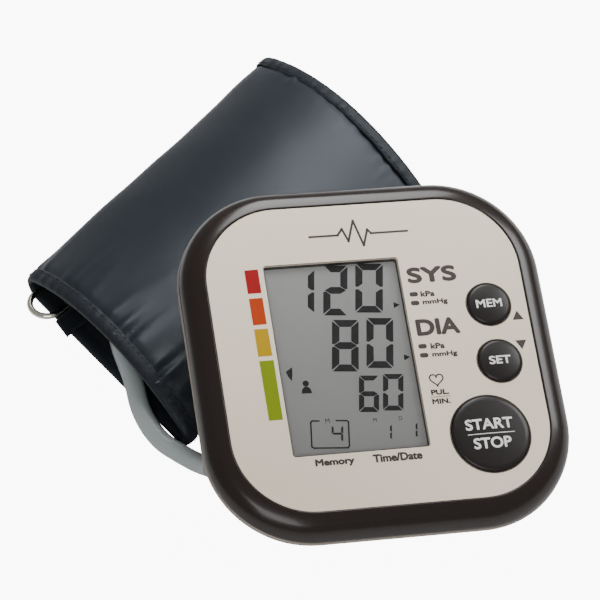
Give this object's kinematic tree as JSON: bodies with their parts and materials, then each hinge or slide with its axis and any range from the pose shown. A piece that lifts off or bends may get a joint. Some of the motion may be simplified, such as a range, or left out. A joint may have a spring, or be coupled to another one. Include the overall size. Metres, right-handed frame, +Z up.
{
  "type": "upper arm blood pressure monitor with cuff",
  "caption": "Desktop upper-arm blood pressure monitor leaning on its wrapped fabric cuff, with display, press buttons, air hose with elbow plug, cuff ring and battery door.",
  "frame": {"origin": "middle of the footprint on the surface the object stands on", "axes": "+Z up, +X to the monitor's right, +Y away from the user; the face leans up at the back and down to the right because the case rests on the cuff"},
  "size_m": [0.1846, 0.2476, 0.0697],
  "materials": {
    "bezel": "glossy dark brown",
    "face_plate": "fine brushed champagne silver",
    "display_lens": "clear window",
    "display_glass": "reflective grey display",
    "internal_plastic": "moulded",
    "soft_internal": "elastomer",
    "keys": "satin dark brown",
    "small_metal": "stamped",
    "circuit_board": "solder mask",
    "lower_case": "taupe, slightly metallic",
    "black_plastic": "moulded",
    "cell_wrap": "wrapped steel",
    "feet": "soft",
    "cuff_cloth": "satin woven nylon, slate navy",
    "bladder": "soft sheet",
    "cuff_lining": "brushed nylon",
    "binding": "woven tape",
    "ring_metal": "polished wire",
    "hose": "grey, satin",
    "plug": "grey moulded"
  },
  "bodies": {
    "monitor": {"bezel": "bezel", "face_plate": "face_plate", "display_lens": "display_lens", "display_glass": "display_glass", "display_carrier": "internal_plastic", "zebra_strips": "soft_internal", "tact_switches": "small_metal", "main_pcb": "circuit_board", "lower_case": "lower_case", "dc_jack": "black_plastic", "air_jack": "black_plastic", "pump_motor": "small_metal", "pump_head": "black_plastic", "release_valve": "small_metal", "pressure_sensor": "black_plastic", "air_manifold": "soft_internal", "beeper": "black_plastic", "aa_cells": "cell_wrap", "battery_contacts": "small_metal", "rubber_feet": "feet"},
    "start_key": {"start_stop_button": "keys"},
    "mem_key": {"mem_button": "keys"},
    "set_key": {"set_button": "keys"},
    "rotor": {"pump_rotor": "small_metal"},
    "plunger": {"valve_plunger": "soft_internal"},
    "door": {"battery_door": "lower_case"},
    "cuff": {"cuff_shell": "cuff_cloth", "air_bladder": "bladder", "cuff_stiffener": "internal_plastic", "cuff_lining": "cuff_lining", "edge_binding_near": "binding", "edge_binding_far": "binding", "ring_sleeve": "cuff_lining", "hose_coil": "hose", "hose_elbow": "black_plastic", "air_hose": "hose", "air_plug": "plug"},
    "ring": {"d_ring": "ring_metal"}
  },
  "joints": [
    {"name": "start_press", "type": "slide", "parent": "monitor", "child": "start_key", "axis": [-0.1197, 0.3011, -0.9461], "range_m": [0, 0.0008], "stiffness_N_per_m": 700, "springref_m": -0.0006},
    {"name": "mem_press", "type": "slide", "parent": "monitor", "child": "mem_key", "axis": [-0.1197, 0.3011, -0.9461], "range_m": [0, 0.0008], "stiffness_N_per_m": 700, "springref_m": -0.0006},
    {"name": "set_press", "type": "slide", "parent": "monitor", "child": "set_key", "axis": [-0.1197, 0.3011, -0.9461], "range_m": [0, 0.0008], "stiffness_N_per_m": 700, "springref_m": -0.0006},
    {"name": "pump_spin", "type": "hinge", "parent": "monitor", "child": "rotor", "pos_m": [0.05977, -0.02657, 0.031], "axis": [0.0378, 0.9536, 0.2987], "continuous": true},
    {"name": "valve_stroke", "type": "slide", "parent": "monitor", "child": "plunger", "axis": [0.9921, 0, -0.1255], "range_m": [0, 0.0008], "stiffness_N_per_m": 300, "springref_m": -0.0008},
    {"name": "door_hinge", "type": "hinge", "parent": "monitor", "child": "door", "pos_m": [0.02016, -0.09956, 0.00471], "axis": [-0.9921, 0, 0.1255], "range_deg": [0, 95]},
    {"name": "hose_unplug", "type": "slide", "parent": "monitor", "child": "cuff", "axis": [-0.9921, 0, 0.1255], "range_m": [0, 0.013]},
    {"name": "ring_turn", "type": "hinge", "parent": "cuff", "child": "ring", "pos_m": [-0.03419, 0.0497, 0.0046], "axis": [0.7955, 0.606, 0], "range_deg": [-2.5, 8]}
  ]
}
